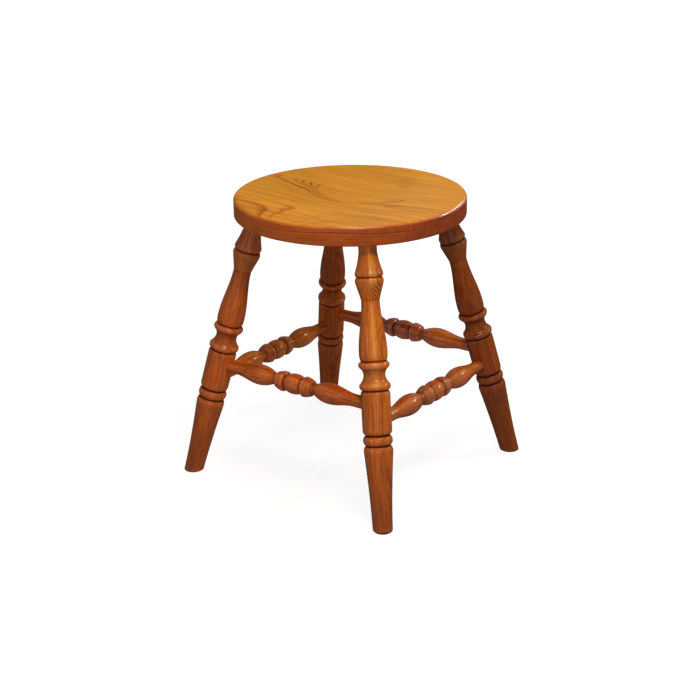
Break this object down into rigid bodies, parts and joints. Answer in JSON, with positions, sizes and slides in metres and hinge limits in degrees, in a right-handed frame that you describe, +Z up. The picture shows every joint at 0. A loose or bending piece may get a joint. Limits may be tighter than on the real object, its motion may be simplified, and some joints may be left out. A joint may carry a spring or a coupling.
{
  "type": "low turned-leg stool",
  "caption": "Low wooden stool: a round dished seat of edge-glued boards on splayed turned legs, tied by turned stretchers set in a staggered box.",
  "frame": {"origin": "on the floor, under the middle of the seat", "axes": "+Z up; +Y along the seat's grain and along the higher pair of stretchers; +X along the lower pair"},
  "size_m": [0.3968, 0.4134, 0.4572],
  "materials": {
    "seat_wood": "golden brown stain under a satin varnish on open-grained hardwood",
    "leg_wood": "red-brown stain under a gloss varnish on turned hardwood",
    "stretcher_wood": "red-brown stain under a gloss varnish on turned hardwood",
    "wedge_wood": "bare split hardwood",
    "dowel_wood": "bare turned hardwood"
  },
  "bodies": {
    "root": {"seat_board_1": "seat_wood", "seat_board_2": "seat_wood", "seat_board_3": "seat_wood", "seat_board_4": "seat_wood", "leg_front_left": "leg_wood", "leg_front_right": "leg_wood", "leg_back_right": "leg_wood", "leg_back_left": "leg_wood", "stretcher_left": "stretcher_wood", "stretcher_right": "stretcher_wood", "stretcher_front": "stretcher_wood", "stretcher_back": "stretcher_wood", "wedge_front_left": "wedge_wood", "wedge_front_right": "wedge_wood", "wedge_back_right": "wedge_wood", "wedge_back_left": "wedge_wood", "dowel_1_front": "dowel_wood", "dowel_1_back": "dowel_wood", "dowel_2_front": "dowel_wood", "dowel_2_back": "dowel_wood", "dowel_3_front": "dowel_wood", "dowel_3_back": "dowel_wood"}
  },
  "joints": []
}
